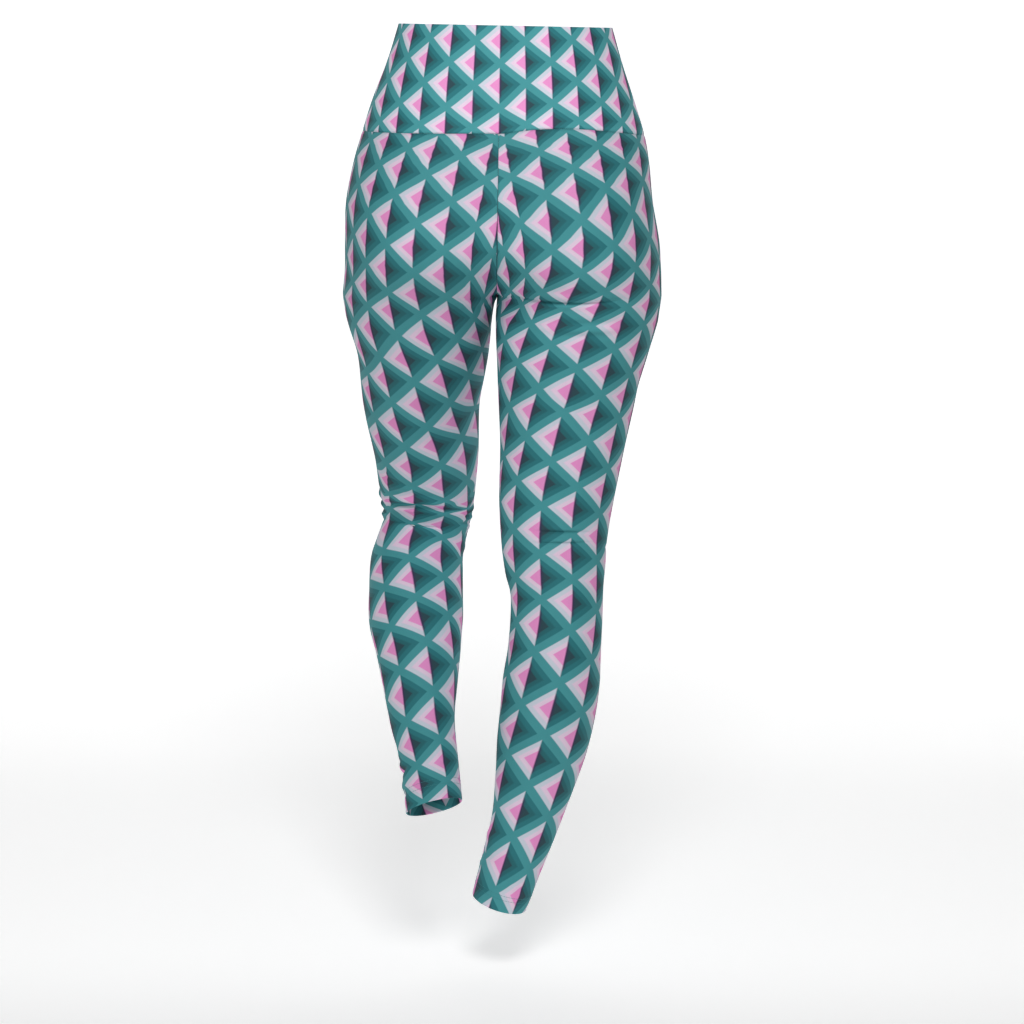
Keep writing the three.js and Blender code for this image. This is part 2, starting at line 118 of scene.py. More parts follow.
# Creases: middle along and around the leg (0 inseam, 90 back, 180 outside, 270 front), half the
# length around in degrees, half the width along, height (a trough is negative), drop of the far
# end, and how far both ends lie below the middle.
creaseShape = {"sharpness": 1.4, "reach": 2.5}
creaseColumns = ("z", "angle", "span", "width", "height", "drop", "bow")
creases = {
    "left": [
        (-524, 100, 64, 4.2, -5.0, 0, 30),  # the deep one across the back of the knee
        (-516, 98, 60, 5.0, 2.6, 0, 27),
        (-532, 104, 58, 4.6, 1.8, 0, 30),
        (-506, 112, 46, 3.2, -1.5, 6, 12),
        (-499, 120, 40, 3.6, 1.0, 7, 10),
        (-492, 134, 34, 3.0, -1.0, 5, 8),
        (-486, 140, 30, 3.2, 0.7, 5, 6),
        (-547, 16, 32, 3.6, -1.2, -3, 0),  # gathers on the inner side of the knee
        (-556, 15, 32, 2.8, 1.5, -3, 0),
        (-560.6, 16, 34, 2.6, -1.9, -4, 0),
        (-565, 17, 34, 2.8, 1.7, -4, 0),
        (-570.2, 18, 36, 2.6, -2.1, -4, 0),
        (-575.4, 18, 34, 3.2, 1.6, -4, 0),
        (-583, 18, 34, 3.6, -1.7, -4, 0),
        (-597, 12, 32, 4.2, 1.1, -3, 0),
        (-531, 172, 30, 3.2, -1.2, 3, 0),  # gathers on its outer side
        (-540, 174, 32, 3.2, 1.9, 3, 0),
        (-549, 175, 34, 2.8, -2.4, 3, 0),
        (-557.5, 176, 34, 3.2, 1.9, 4, 0),
        (-566.5, 176, 36, 2.8, -2.6, 4, 0),
        (-575.5, 177, 34, 3.4, 1.8, 4, 0),
        (-585, 178, 34, 3.4, -1.3, 4, 0),
        (-578, 78, 44, 4.6, -1.5, 5, 8),
        (-598, 112, 40, 6.0, 0.7, -4, 6),
        (-806, 196, 44, 5.0, -0.9, 5, 0),  # bunched above the ankle
        (-816, 190, 52, 3.6, 0.8, 4, 0),
        (-824.5, 186, 62, 3.4, 1.9, 3, 0),
        (-831.5, 188, 72, 2.6, -5.2, 3, 0),
        (-843, 182, 74, 4.4, 1.9, 2, 0),
        (-852, 178, 70, 3.2, -1.2, 2, 0),
        (-836, 48, 44, 3.6, -1.1, -5, 0),
        (-848, 40, 48, 4.0, 0.9, -4, 0),
        (-828, 100, 40, 3.4, -0.7, 6, 0),
        (-318, 262, 60, 9.0, -3.0, 10, 0),  # the bend at the top of the thigh
        (-332, 266, 56, 7.0, 1.6, 9, 0),
        (-350, 262, 46, 7.0, -1.2, 8, 0),
        (-300, 236, 34, 6.0, -1.0, 8, 0),
        (-540, 272, 50, 14.0, 0.8, 0, 0),  # drawn over the kneecap
        (-612, 268, 60, 8.0, -1.0, 4, -8),
        (-486, 266, 52, 8.0, -0.8, 4, 10),
        (-300, 40, 44, 5.0, -1.2, 5, 0),  # from the crotch
        (-310, 46, 40, 6.0, 0.8, 5, 0),
    ],
    "right": [
        (-291.2, 74, 60, 1.7, -4.4, 2.1, -8.2),  # under the seat
        (-285.4, 80, 54, 4.6, 1.7, 2.1, -8.2),
        (-295.5, 74, 58, 3.2, 0.9, 2.1, -8.2),
        (-313, 98, 44, 4.0, -1.6, 0, -2),
        (-320.8, 96, 46, 4.0, 2.0, 0, -2),
        (-328, 94, 44, 4.6, -1.2, 0, -2),
        (-553, 98, 50, 1.6, -2.9, -0.5, 0),  # behind the knee
        (-549.4, 98, 48, 3.2, 0.9, 0, 0),
        (-565.4, 99, 48, 1.6, -2.6, -0.5, 0),
        (-561.6, 99, 46, 3.2, 0.9, 0, 0),
        (-584, 104, 42, 3.4, -0.8, 3, 4),
        (-612, 84, 44, 5.0, -1.0, -3, 5),
        (-556, 14, 30, 3.6, -1.0, 4, 0),
        (-572, 172, 30, 3.8, -1.0, 4, 0),
        (-915, 12, 44, 8.0, 1.2, -5, 0),  # at the ankle
        (-936, 16, 50, 4.0, -1.1, -5, 0),
        (-949, 14, 50, 4.4, 1.0, -4, 0),
        (-942, 150, 40, 5.0, -0.8, 4, 0),
        (-956, 110, 80, 3.6, -0.8, 4, 0),
        (-966, 120, 70, 4.2, 0.7, 4, 0),
        (-600, 268, 56, 8.0, -1.0, 4, -6),
        (-522, 272, 50, 9.0, -0.8, 4, 8),
        (-306, 258, 50, 7.0, -1.4, 8, 0),
        (-318, 256, 44, 6.0, 0.8, 8, 0),
        (-940, 262, 60, 4.4, -1.3, 4, 0),
        (-950, 264, 58, 4.6, 1.0, 4, 0),
    ],
}

# How the print lies on each leg, a row for each place down the middle of its back: the row and
# column of the lattice there, the width of a lozenge, how far rows tilt and bend to the sides,
# and the row of the lattice at the same height in front.
printColumns = ("z", "row", "column", "width", "tilt", "bend", "frontRow")
printMap = {
    "left": [
        (-113, -1, -0.65, 62, 0.12, 0, -1),
        (-133, 0, -0.71, 62, 0.125, 0.0002, 0),
        (-180, 2, -0.84, 65, 0.1, 0.0006, 2),
        (-231.5, 4, -0.9, 65, 0.09, 0.0006, 4),
        (-284, 6, -0.99, 65, 0.09, 0.0004, 6.1),
        (-324.5, 8, -1.17, 67, 0.065, -0.0003, 7.9),
        (-360.5, 10, -1.39, 68, -0.01, -0.001, 9.5),
        (-406.5, 12, -1.64, 69.5, -0.03, -0.0014, 11.5),
        (-464, 14, -1.75, 70, 0.01, -0.002, 13.8),
        (-491, 15, -1.77, 71, 0, -0.003, 15),
        (-513, 16, -1.8, 71, 0.06, -0.0035, 15.9),
        (-524, 17, -1.8, 70, 0.1, -0.0045, 16.4),
        (-533.5, 18, -1.8, 70, 0.17, -0.006, 16.9),
        (-568, 19, -1.77, 70, -0.15, -0.006, 18.2),
        (-613, 20, -1.82, 70, -0.38, -0.003, 20),
        (-637, 21, -1.89, 73, -0.2, 0, 20.9),
        (-663.5, 22, -1.98, 74, -0.15, 0.0005, 22),
        (-704, 24, -2.11, 75, -0.1, 0.001, 24),
        (-747, 26, -2.2, 74, -0.06, 0.002, 26),
        (-794.5, 28, -2.27, 70, 0, 0.0025, 28),
        (-835, 30, -2.29, 65, 0.05, 0.003, 30),
        (-852, 31, -2.31, 62, 0.08, 0.003, 31),
    ],
    "right": [
        (-115, -1, 0.6, 68, 0.1, 0, -1),
        (-133, 0, 0.69, 68, 0.095, 0, 0),
        (-174, 2, 0.82, 68, 0.09, 0, 2),
        (-231, 4, 0.92, 68, 0.05, 0.0002, 4),
        (-257, 5, 1, 68, 0.045, 0.0002, 5),
        (-279, 6, 1.15, 70, 0.03, 0.0002, 6),
        (-297, 7, 1.26, 71, 0, 0, 6.9),
        (-315.5, 8, 1.34, 71, -0.01, -0.0004, 7.8),
        (-337.5, 9, 1.4, 71, -0.01, -0.0009, 8.9),
        (-385.5, 11, 1.5, 71, -0.02, -0.001, 11),
        (-446.5, 13, 1.64, 71, 0, -0.001, 13),
        (-496.5, 15, 1.73, 71.5, -0.005, -0.001, 15),
        (-552.5, 17, 1.75, 71, -0.06, -0.001, 17),
        (-603, 19, 1.74, 70, -0.11, -0.0013, 19),
        (-651.5, 21, 1.8, 71, -0.09, -0.0018, 21),
        (-706, 23, 1.92, 74, -0.05, -0.002, 23),
        (-766, 25, 2.04, 74, 0, -0.003, 25),
        (-833, 27, 2.13, 70, 0.03, -0.0035, 27),
        (-899, 29, 2.19, 64, 0.06, -0.0035, 29),
        (-966.5, 31, 2.2, 59, 0.1, -0.0035, 31),
    ],
}
# The print is gathered towards the rise seam at the back.
squeeze = {"left": 0.4, "right": 0.5, "from": 52.0, "top": (-195, -155), "foot": (-325, -285)}
# Rows bend no further than this from the back line, and turn into the front's in these degrees.
printTurn = {"bendEnds": 60.0, "toFront": (70, 125)}


def fade(start, end, value):
    t = np.clip((value - start) / (end - start), 0, 1)
    return t * t * (3 - 2 * t)


def unit(vectors):
    return vectors / np.linalg.norm(vectors, axis=-1, keepdims=True)


# The value of one column at each z, on a smooth curve through the rows; straight on past the ends.
def columnAt(table, names, name, z):
    rows = np.array(table, float)
    heights, values = rows[:, 0], rows[:, names.index(name)]
    z = np.asarray(z, float)
    i = np.clip(np.searchsorted(-heights, -z), 1, len(heights) - 1)
    order = np.arange(len(heights))
    above, below = np.maximum(order - 1, 0), np.minimum(order + 1, len(heights) - 1)
    slope = (values[below] - values[above]) / (heights[below] - heights[above])
    span = heights[i] - heights[i - 1]
    t = (z - heights[i - 1]) / span
    k = np.clip(t, 0, 1)
    ends = values[i - 1] * (2 * k**3 - 3 * k**2 + 1) + values[i] * (3 * k**2 - 2 * k**3)
    curve = ends + span * (slope[i - 1] * (k**3 - 2 * k**2 + k) + slope[i] * (k**3 - k**2))
    return curve + np.where(t > k, slope[i], slope[i - 1]) * span * (t - k)


def sectionAt(side, z):
    return {name: columnAt(sections[side], sectionColumns, name, z) for name in sectionColumns[1:]}


def riseX(z):
    return rise["x"] - rise["lean"] * np.maximum(0, z - crotchZ)


# The angle at which a section meets the rise seam; 0 where the leg is a closed tube.
def cutAngle(section, cut=0.0):
    inward, across = section["mid"] - section["inner"], section["mid"] - cut
    return np.where(inward > across, np.arccos(np.clip(across / inward, -1, 1)), 0.0)


# The cloth's advance over the dip between the thighs in front.
def frontFill(section, z, fromSeam):
    angle = cutAngle(section)
    slope = section["front"] / (section["mid"] - section["inner"]) * np.cos(angle) * np.sin(angle)
    fill = slope * rise["frontSpan"] / 2 * (1 - fromSeam / rise["frontSpan"]) ** 2
    return np.where((z <= crotchZ) | (fromSeam >= rise["frontSpan"]), 0.0, fill)


# How far the two halves' edges move back or forward to meet on one seam line.
def seamShift(side, z, isBack):
    level = np.maximum(z, crotchZ)
    edges = {}
    for name in ("left", "right"):
        section = sectionAt(name, level)
        angle = np.where(level > crotchZ, cutAngle(section), 0.0)
        backEdge = section["y"] + section["back"] * np.sin(angle)
        frontEdge = section["y"] - section["front"] * np.sin(angle) - frontFill(section, level, 0.0)
        edges[name] = np.where(isBack, backEdge, frontEdge)
    below = 1 - fade(0, rise["fadeBelow"], crotchZ - z)
    return ((edges["left"] + edges["right"]) / 2 - edges[side]) * below


# The directions along the leg, outwards and backwards: level round the hips, square to the leg below.
def directionsAt(side, z):
    reach = 12.0
    above, below = sectionAt(side, z + reach), sectionAt(side, z - reach)
    turn = fade(0, 130, crotchZ - z)
    atHem = fade(0, hemSet["over"], sections[side][-1][0] + hemSet["over"] - z)
    x = (below["mid"] - above["mid"]) * turn
    y = (below["y"] - above["y"]) * turn * (1 - hemSet[side]["ease"] * atHem)
    along = unit(np.stack([x, y, np.full_like(x, -2 * reach)], -1))
    back = unit(np.array([0.0, 1.0, 0.0]) - along * along[..., 1:2])
    roll = np.radians(hemSet[side]["roll"] * atHem)[..., None]
    along = along * np.cos(roll) + np.cross(back, along) * np.sin(roll)
    return along, -np.cross(back, along), back


def creaseHeight(side, z, degrees):
    height = np.zeros(np.broadcast(z, degrees).shape)
    for row in creases[side]:
        crease = dict(zip(creaseColumns, row))
        around = (degrees - crease["angle"]) / crease["span"]
        below = crease["drop"] * around + crease["bow"] * around**2
        down = (z - crease["z"] + below) / crease["width"]
        swell = crease["height"] * np.cos(around * np.pi / 2) ** 2
        swell = swell * np.exp(-creaseShape["sharpness"] * down**2)
        isNear = (np.abs(around) < 1) & (np.abs(down) < creaseShape["reach"])
        height += np.where(isNear, swell, 0.0)
    return height


# A point of the worn cloth's outer face, in millimetres, for each z and angle round the leg.
def surfacePoint(side, z, angle, creased=1.0):
    z, angle = np.broadcast_arrays(np.asarray(z, float), np.asarray(angle, float))
    section = sectionAt(side, z)
    along, outward, back = directionsAt(side, z)
    c, s = np.cos(angle), np.sin(angle)
    across = -c * np.where(c > 0, section["mid"] - section["inner"], section["outer"] - section["mid"])
    deep = s * np.where(s > 0, section["back"], section["front"])
    swell = 1 + creased * creaseHeight(side, z, np.degrees(angle)) / np.hypot(across, deep)
    isCut = (z > crotchZ) & (section["mid"] + across < rise["atEdge"])
    across, deep = across * np.where(isCut, 1.0, swell), deep * swell
    deep = deep - np.where(s < 0, frontFill(section, z, section["mid"] + across), 0.0)
    point = np.stack([section["mid"], section["y"], z], -1)
    point = point + outward * across[..., None] + back * deep[..., None]
    near = 1 - fade(0, rise["reach"], point[..., 0])
    point[..., 1] += seamShift(side, z, s >= 0) * near
    point[..., 0] = riseX(z) + (1 if side == "left" else -1) * point[..., 0]
    overBand = fade(bandBottom, 0, point[..., 2])
    underBand = fade(bandBottom - tug["fadeDown"], bandBottom, point[..., 2])
    turn = np.arctan2(-point[..., 0], point[..., 1])
    wave = np.where((turn > 0) & (turn <= np.pi / 2), np.sin(3 * turn), 0.0)
    wave = np.where(turn > np.pi / 2, -np.sin(turn) ** 2, wave)
    point[..., 2] += tug["edgeTilt"] * point[..., 0] * overBand
    point[..., 2] += tug["seamRise"] * wave * underBand * (1 - overBand)
    return point


# Angles at chosen distances from a row's first edge; marks(length) gives the distances.
def anglesAlong(side, z, first, last, marks):
    steps = 360
    share = np.linspace(0, 1, steps + 1)
    rows = []
    for level, start, end in zip(z, first, last):
        angles = start + (end - start) * share
        points = surfacePoint(side, np.full(steps + 1, level), angles, 0.0)
        pieces = np.linalg.norm(np.diff(points, axis=0), axis=1)
        lengths = np.concatenate([[0.0], np.cumsum(pieces)])
        rows.append(np.interp(marks(lengths[-1]), lengths, angles))
    return np.array(rows)


# Outward normals of a grid of points. Columns wrap round in rows that are closed rings.
def gridNormals(points, closedFrom, sign):
    around = np.gradient(points, axis=1)
    ring = slice(closedFrom, None)
    wrapped = points[ring, 1] - points[ring, -2]
    around[ring, 0] = wrapped
    around[ring, -1] = wrapped
    down = np.gradient(points, axis=0)
    return sign * unit(np.cross(around, down))


def lengthsAlong(points, axis):
    pieces = np.linalg.norm(np.diff(points, axis=axis), axis=-1)
    start = np.zeros_like(np.take(pieces, [0], axis=axis))
    return np.concatenate([start, np.cumsum(pieces, axis=axis)], axis=axis)


# One mesh from a grid of points. Its two UV maps are the print's lattice and the cloth's millimetres.
def makeSheet(name, points, latticeUv, clothUv, closedFrom, flip, materials):
    rows, columns = points.shape[:2]
    numbers = np.zeros((rows, columns), int)
    kept = []
    for i in range(rows):
        isRing = i >= closedFrom
        count = columns - 1 if isRing else columns
        numbers[i, :count] = len(kept) + np.arange(count)
        if isRing:
            numbers[i, -1] = numbers[i, 0]
        kept.extend(points[i, :count] * mm)
    corners = [(0, 0), (0, 1), (1, 1), (1, 0)]
    if flip:
        corners.reverse()
    i, j = np.meshgrid(np.arange(rows - 1), np.arange(columns - 1), indexing="ij")
    faces = np.stack([numbers[i + a, j + b] for a, b in corners], -1).reshape(-1, 4)
    mesh = bpy.data.meshes.new(name)
    mesh.from_pydata(np.array(kept).tolist(), [], faces.tolist())
    for layerName, uv in (("lattice", latticeUv), ("cloth", clothUv)):
        layer = mesh.uv_layers.new(name=layerName)
        values = np.stack([uv[i + a, j + b] for a, b in corners], 2).reshape(-1, 2)
        layer.data.foreach_set("uv", values.ravel())
    for material in materials:
        mesh.materials.append(material)
    mesh.polygons.foreach_set("use_smooth", [True] * len(mesh.polygons))
    mesh.update()
    sheet = bpy.data.objects.new(name, mesh)
    bpy.context.scene.collection.objects.link(sheet)
    return sheet


def applyThickness(sheet, thickness):
    bpy.ops.object.select_all(action="DESELECT")
    bpy.context.view_layer.objects.active = sheet
    sheet.select_set(True)
    solidify = sheet.modifiers.new("cloth thickness", "SOLIDIFY")
    solidify.thickness = thickness * mm
    solidify.offset = -1.0
    solidify.use_even_offset = True
    solidify.material_offset = 1
    bpy.ops.object.modifier_apply(modifier=solidify.name)


# Shader maths as plain expressions: a wrapped socket adds its own Math nodes.
class Wire:
    def __init__(self, tree, socket):
        self.tree = tree
        self.socket = socket

    def node(self, kind, settings=None, inputs=None, output=0):
        made = self.tree.nodes.new(kind)
        for key, value in (settings or {}).items():
            setattr(made, key, value)
        for key, value in (inputs or {}).items():
            if isinstance(value, Wire):
                self.tree.links.new(value.socket, made.inputs[key])
            else:
                made.inputs[key].default_value = value
        return Wire(self.tree, made.outputs[output])

    def math(self, operation, *others):
        return self.node("ShaderNodeMath", {"operation": operation}, dict(enumerate((self, *others))))

    def __add__(self, other):
        return self.math("ADD", other)

    __radd__ = __add__

    def __sub__(self, other):
        return self.math("SUBTRACT", other)

    def __rsub__(self, other):
        return self * -1 + other

    def __mul__(self, other):
        return self.math("MULTIPLY", other)

    __rmul__ = __mul__

    def __truediv__(self, other):
        return self.math("DIVIDE", other)

    def above(self, edge, softness):
        settings = {"interpolation_type": "SMOOTHSTEP"}
        return self.node("ShaderNodeMapRange", settings,
                         {"Value": self, "From Min": edge - softness, "From Max": edge + softness})

    def mix(self, low, high):
        inputs = {0: self, 6: low, 7: high}
        return self.node("ShaderNodeMix", {"data_type": "RGBA"}, inputs, 2)


def linear(red, green, blue):
    def toLinear(value):
        value /= 255
        return value / 12.92 if value <= 0.04045 else ((value + 0.055) / 1.055) ** 2.4
    return (toLinear(red), toLinear(green), toLinear(blue), 1.0)


knitLook = {
    "band": linear(72, 150, 155),  # the trellis
    "whiteTip": linear(202, 209, 221),
    "palePink": linear(230, 206, 226),
    "pink": linear(232, 147, 203),
    "outerTeal": linear(48, 118, 125),
    "midTeal": linear(44, 103, 109),
    "darkTeal": linear(49, 75, 83),
    "inside": linear(226, 232, 232),
    "lozenge": 0.80,  # share of a lattice cell that a lozenge fills
    "middle": 0.545,
    "heart": 0.34,
    "edge": 0.028,
    "lightStep": 0.03,  # how much smaller the nested squares are on the light side
    "plum": linear(62, 50, 84),  # beside the divider, on the dark side
    "plumSide": (0.035, 0.025),
    "plumEnd": (0.56, 0.1),
    "plumShare": 0.8,
    "showThrough": 0.16,  # of the print, on the wrong side
    "courses": 0.75,  # millimetres from one row of loops to the next
    "wales": 0.9,
}


def newMaterial(name):
    material = bpy.data.materials.new(name)
    material.use_nodes = True
    tree = material.node_tree
    shader = tree.nodes["Principled BSDF"]
    return material, tree, shader, Wire(tree, None)


# The lattice: whole numbers of both diagonals are the lozenges' middles.
def latticeColour(wires):
    uv = wires.node("ShaderNodeUVMap", {"uv_map": "lattice"})
    across = wires.node("ShaderNodeSeparateXYZ", None, {0: uv}, 0)
    down = wires.node("ShaderNodeSeparateXYZ", None, {0: uv}, 1)
    rising = (across + down * 0.5 + 0.5).math("FRACT") - 0.5
    falling = (across - down * 0.5 + 0.5).math("FRACT") - 0.5
    out = rising.math("ABSOLUTE").math("MAXIMUM", falling.math("ABSOLUTE")) * 2
    isRight = (rising + falling).above(0.0, knitLook["edge"])
    offDivider = (rising + falling) / 2
    soft = knitLook["edge"]
    step = knitLook["lightStep"]
    light = out.above(knitLook["heart"] + step, soft).mix(knitLook["pink"], knitLook["palePink"])
    light = out.above(knitLook["middle"] + step, soft * 2).mix(light, knitLook["whiteTip"])
    dark = out.above(knitLook["heart"], soft * 1.6).mix(knitLook["darkTeal"], knitLook["midTeal"])
    dark = out.above(knitLook["middle"], soft * 2).mix(dark, knitLook["outerTeal"])
    plum = (1 - offDivider.above(*knitLook["plumSide"])) * (1 - out.above(*knitLook["plumEnd"]))
    plum = plum * knitLook["plumShare"]
    dark = plum.mix(dark, knitLook["plum"])
    lozenge = isRight.mix(light, dark)
    return out.above(knitLook["lozenge"], soft).mix(lozenge, knitLook["band"])


def knitHeight(wires):
    uv = wires.node("ShaderNodeUVMap", {"uv_map": "cloth"})
    x = wires.node("ShaderNodeSeparateXYZ", None, {0: uv}, 0)
    y = wires.node("ShaderNodeSeparateXYZ", None, {0: uv}, 1)
    wale = (x * (2 * math.pi / knitLook["wales"])).math("SINE")
    course = (y * (2 * math.pi / knitLook["courses"])).math("SINE")
    return wale * 0.6 + course * wale * 0.4


def makeKnit(name, isOutside, paintedLightGain):
    material, tree, shader, wires = newMaterial(name)
    uv = wires.node("ShaderNodeUVMap", {"uv_map": "cloth"})
    cloudy = wires.node("ShaderNodeTexNoise", None, {"Vector": uv, "Scale": 0.035, "Detail": 3.0})
    fine = wires.node("ShaderNodeTexNoise", None, {"Vector": uv, "Scale": 0.9, "Detail": 2.0})
    colour = latticeColour(wires)
    if not isOutside:
        inputs = {0: knitLook["showThrough"], 6: knitLook["inside"], 7: colour}
        colour = wires.node("ShaderNodeMix", {"data_type": "RGBA"}, inputs, 2)
    # The noise gives a random tone. The gain is painted light that makes the waistband's colour
    # lighter, for the brighter light on the waist.
    shade = (cloudy * 0.10 + fine * 0.10 + 0.90) * paintedLightGain
    grey = wires.node("ShaderNodeCombineColor", None, {0: shade, 1: shade, 2: shade})
    settings = {"data_type": "RGBA", "blend_type": "MULTIPLY"}
    colour = wires.node("ShaderNodeMix", settings, {0: 1.0, 6: colour, 7: grey}, 2)
    tree.links.new(colour.socket, shader.inputs["Base Color"])
    roughness = fine * 0.12 + (0.66 if isOutside else 0.74)
    tree.links.new(roughness.socket, shader.inputs["Roughness"])
    shader.inputs["Sheen Weight"].default_value = 0.02
    shader.inputs["Sheen Roughness"].default_value = 0.45
    shader.inputs["Specular IOR Level"].default_value = 0.12
    bump = wires.node("ShaderNodeBump", None,
                      {"Strength": 0.25, "Distance": 0.00012, "Height": knitHeight(wires) + fine * 0.5})
    tree.links.new(bump.socket, shader.inputs["Normal"])
    return material


legOutside = makeKnit("leg knit, right side", True, 1.0)
bandOutside = makeKnit("waistband knit, right side", True, 1.16)  # lighter than the legs' colour: painted light, for the brighter light that falls on the waist
knitInside = makeKnit("knit, wrong side", False, 1.0)
print("materials made")

legMake = {
    "columns": 108,  # evenly spaced, between the close ones at the seam
    "seamMarks": (0.0, 0.7, 1.5, 2.6, 4.2),
    "groove": {"depth": 0.6, "width": 1.3, "overCrotch": (-285, -225), "underCrotch": (0, 25)},
    "cloth": 0.7,
    "hem": {"radius": 0.74, "depth": 19.0, "turns": 5},
    "gap": 0.06,
}
rowStretches = {
    "left": [(-230, 34), (crotchZ, 24), (-310, 14), (-480, 50), (-600, 110), (-640, 20), (-780, 44),
             (-868, 56)],
    "right": [(-230, 34), (-275, 16), (crotchZ, 18), (-340, 40), (-546, 60), (-574, 30), (-625, 24),
              (-880, 78), (-988, 60)],
}


def levelsOf(stretches, top):
    levels = [top]
    for end, count in stretches:
        levels.extend(levels[-1] + (end - levels[-1]) * np.arange(1, count + 1) / count)
    return np.array(levels)


# Lattice columns and rows at a point, from its z, its distance from the back line, and its angle.
def latticeAt(side, z, fromBack, angle):
    table = printMap[side]
    atSeat = (1 - fade(*squeeze["top"], z)) * fade(*squeeze["foot"], z)
    fromBack = fromBack - squeeze[side] * np.maximum(0, -fromBack - squeeze["from"]) * atSeat
    at = {name: columnAt(table, printColumns, name, z) for name in ("tilt", "bend", "frontRow")}
    level = z - at["tilt"] * fromBack - at["bend"] * np.minimum(fromBack**2, printTurn["bendEnds"] ** 2)
    sign = -1 if side == "left" else 1
    width = columnAt(table, printColumns, "width", level)
    u = columnAt(table, printColumns, "column", level) + sign * fromBack / width
    inFront = fade(*printTurn["toFront"], np.abs(np.degrees(angle) - 90))
    v = columnAt(table, printColumns, "row", level) * (1 - inFront) + at["frontRow"] * inFront
    return np.stack([u, -v], -1)


def seamGroove(distance):
    groove = legMake["groove"]
    return groove["depth"] * np.exp(-((distance / groove["width"]) ** 2))


def makeLeg(side):
    z = levelsOf(rowStretches[side], bandBottom - legMake["gap"] / 2)
    closedFrom = int(np.argmin(np.abs(z - crotchZ)))
    section = sectionAt(side, z)
    start = np.where(z > crotchZ + 0.01, cutAngle(section, legMake["gap"] / 2), 0.0)
    close = np.array(legMake["seamMarks"])

    def marks(length):
        middle = np.linspace(close[-1], length - close[-1], legMake["columns"] + 1)
        return np.concatenate([close[:-1], middle, (length - close[:-1])[::-1]])

    angle = anglesAlong(side, z, start, 2 * np.pi - start, marks)
    points = surfacePoint(side, z[:, None], angle)
    sign = 1 if side == "left" else -1
    normals = gridNormals(points, closedFrom, sign)
    across = lengthsAlong(surfacePoint(side, z[:, None], angle, 0.0), 1)
    down = lengthsAlong(points, 0)
    atBack = np.array([np.interp(np.pi / 2, a, d) for a, d in zip(angle, across)])
    fromBack = across - atBack[:, None]
    fromSeam = np.minimum(across, across[:, -1:] - across)
    lattice = latticeAt(side, z[:, None], fromBack, angle)
    groove = legMake["groove"]
    over, under = fade(*groove["overCrotch"], z), fade(*groove["underCrotch"], crotchZ - z)
    inward = seamGroove(fromSeam) * np.where(z > crotchZ, over, under)[:, None] + seamGroove(down)
    points = points - normals * inward[..., None]
    cloth = np.stack([fromBack, -down], -1)
    points, lattice, cloth = addHem(side, points, normals, lattice, cloth, z)
    leg = makeSheet(f"leg_{side}_knit", points, lattice, cloth, closedFrom, side == "right",
                    [legOutside, knitInside])
    applyThickness(leg, legMake["cloth"])
    print(leg.name, "made,", len(leg.data.polygons), "faces")
    return leg


# The hem is turned up inside: round a small radius, then back up along the cloth.
def addHem(side, points, normals, lattice, cloth, z):
    hem = legMake["hem"]
    along = directionsAt(side, z[-1:])[0][0]
    along = along * np.array([1 if side == "left" else -1, 1, 1])
    inward = -(normals[-1] - (normals[-1] @ along)[:, None] * along)
    inward = unit(inward)
    newPoints, newLattice, newCloth = [], [], []
    rowStep = lattice[-1] - lattice[-2]
    length = np.linalg.norm(points[-1] - points[-2], axis=1).mean()
    for k in range(1, hem["turns"] + 1):
        angle = math.pi * k / hem["turns"]
        shift = along * math.sin(angle) * hem["radius"] + inward * (1 - math.cos(angle)) * hem["radius"]
        newPoints.append(points[-1] + shift)
        newLattice.append(lattice[-1] + rowStep * hem["radius"] * angle / length)
        newCloth.append(cloth[-1] - np.array([0, hem["radius"] * angle]))
    travelled = 0.0
    i = len(points) - 2
    while travelled < hem["depth"]:
        travelled += np.linalg.norm(points[i] - points[i + 1], axis=1).mean()
        newPoints.append(points[i] - normals[i] * 2 * hem["radius"])
        newLattice.append(newLattice[hem["turns"] - 1] + rowStep * travelled / length)
        newCloth.append(newCloth[hem["turns"] - 1] - np.array([0, travelled]))
        i -= 1
    join = np.concatenate
    return join([points, newPoints]), join([lattice, newLattice]), join([cloth, newCloth])


legs = {side: makeLeg(side) for side in ("left", "right")}

bandMake = {
    "columns": 84,  # in each half
    "rows": 44,
    "innerRows": 22,
    "foldRadius": 0.8,
    "foldTurns": 6,
    "cloth": 0.75,
    "gap": 0.06,
}
bandPrintColumns = ("z", "row", "width")
bandPrint = {
    "back": [(-16.3, 0, 52), (-39.3, 1, 54), (-62.3, 2, 55.5), (-86, 3, 56.5), (-106, 4, 57)],
    "front": [(-10, 0, 52), (-33, 1, 54), (-56, 2, 55.5), (-79, 3, 56.5), (-102, 4, 57)],
    "bend": 0.0004,
    "bendMost": 14000.0,  # of the distance from the middle, squared
}


